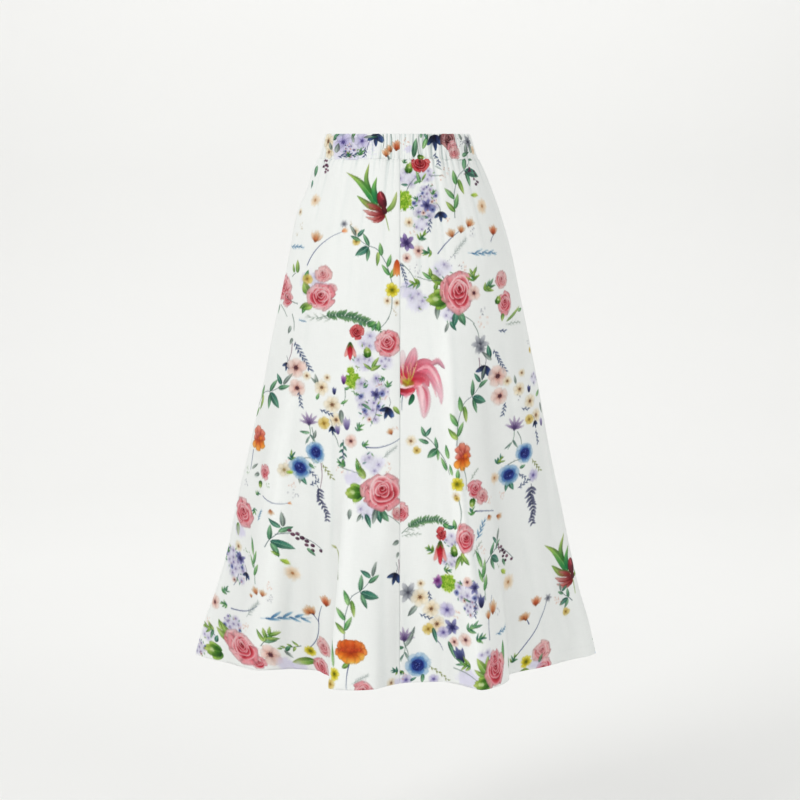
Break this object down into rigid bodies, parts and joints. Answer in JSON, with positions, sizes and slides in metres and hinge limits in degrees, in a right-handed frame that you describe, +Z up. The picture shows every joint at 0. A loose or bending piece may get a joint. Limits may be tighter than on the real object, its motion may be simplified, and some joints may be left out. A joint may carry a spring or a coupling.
{
  "type": "a-line skirt",
  "caption": "Long flared skirt with a gathered elastic waistband and a centre-front seam, filled out as worn, white cloth with an all-over flower print.",
  "frame": {"origin": "the middle of the waistband's top edge, where the wearer's waist holds the skirt", "axes": "+Z up along the body, the front faces -Y, +X to the right as seen from the front"},
  "size_m": [0.7107, 0.4864, 0.9154],
  "materials": {
    "printed_cloth": "matt white plain-weave cloth with a watercolour flower print",
    "printed_band": "the same printed cloth, doubled and gathered over elastic"
  },
  "bodies": {
    "root": {"front_left": "printed_cloth", "front_right": "printed_cloth", "back": "printed_cloth", "waistband_front_left": "printed_band", "waistband_front_right": "printed_band", "waistband_back": "printed_band"}
  },
  "joints": []
}
